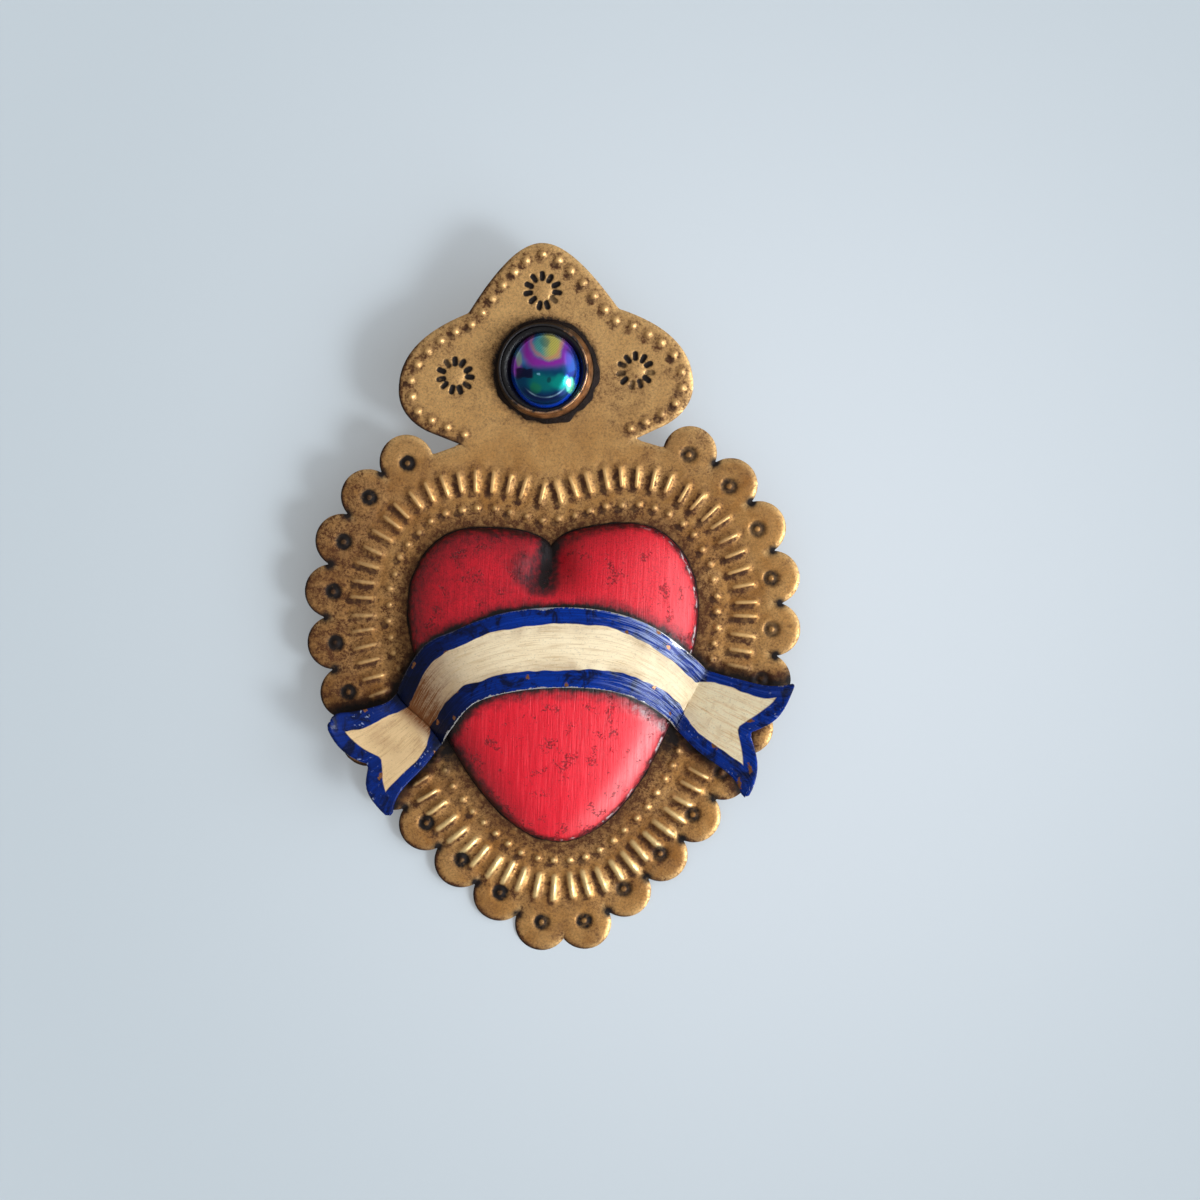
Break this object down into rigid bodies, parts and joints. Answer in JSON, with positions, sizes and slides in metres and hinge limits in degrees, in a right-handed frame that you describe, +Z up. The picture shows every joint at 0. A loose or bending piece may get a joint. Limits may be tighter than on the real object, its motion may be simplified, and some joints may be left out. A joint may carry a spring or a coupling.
{
  "type": "milagro heart charm",
  "caption": "Punched tin votive heart plate with a trefoil crown, domed painted heart, ribbon banner and a bezel-set glass gem, on a rear hanging strap.",
  "frame": {"origin": "centre of the bounding box at the surface the charm lies on", "axes": "+Y towards the crown, +Z up out of the decorated front, +X to the viewer's right when the front is seen with the crown up"},
  "size_m": [0.1058, 0.1512, 0.0176],
  "materials": {
    "antique_gold_tin": "brushed antique gold paint with dark patina in the hollows",
    "red_painted_tin": "bright red paint, antiqued black at the rim",
    "cream_painted_tin": "cream paint with a deep blue border",
    "copper_tin": "worn copper-bronze with black patina",
    "coated_glass": "iridescent coated glass",
    "black_bedding": "hardened black bedding, satin",
    "dark_solder": "soft solder, darkened by patina",
    "bare_tin": "bare rolled tin plate"
  },
  "bodies": {
    "root": {"back_plate": "antique_gold_tin", "heart_dome": "red_painted_tin", "heart_solder": "dark_solder", "banner": "cream_painted_tin", "banner_solder_left": "dark_solder", "banner_solder_right": "dark_solder", "bezel_collar": "copper_tin", "bezel_solder": "dark_solder", "gem": "coated_glass", "gem_bed": "black_bedding", "hanging_strap": "bare_tin", "strap_solder_left": "dark_solder", "strap_solder_right": "dark_solder"}
  },
  "joints": []
}
